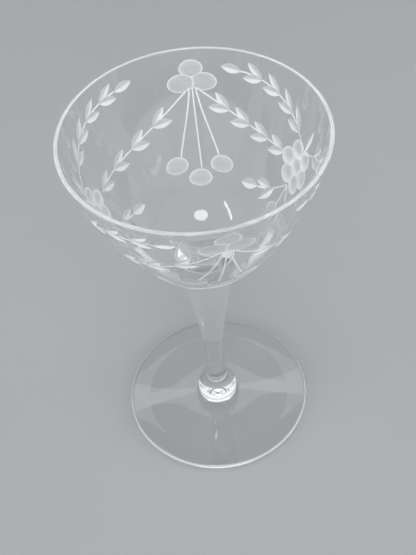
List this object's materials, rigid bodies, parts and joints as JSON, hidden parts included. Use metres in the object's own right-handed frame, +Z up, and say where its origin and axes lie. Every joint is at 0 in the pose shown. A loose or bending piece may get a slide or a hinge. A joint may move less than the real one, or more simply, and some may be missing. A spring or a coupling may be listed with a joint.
{
  "type": "coupe glass",
  "caption": "Stemmed drinking glass with a flaring wheel-cut bowl, a trumpet stem, a ball knop and a round foot, for serving short drinks.",
  "frame": {"origin": "centre of the foot's underside, on the surface the glass stands on", "axes": "+Z up along the axis of the glass, +X to the viewer's right and +Y away from the viewer"},
  "size_m": [0.077, 0.077, 0.127],
  "materials": {
    "bowl_glass": "clear and fire-polished, with matt grey wheel cuts outside",
    "stem_glass": "clear and fire-polished"
  },
  "bodies": {
    "root": {"bowl": "bowl_glass", "stem": "stem_glass", "knop": "stem_glass", "foot": "stem_glass"}
  },
  "joints": []
}
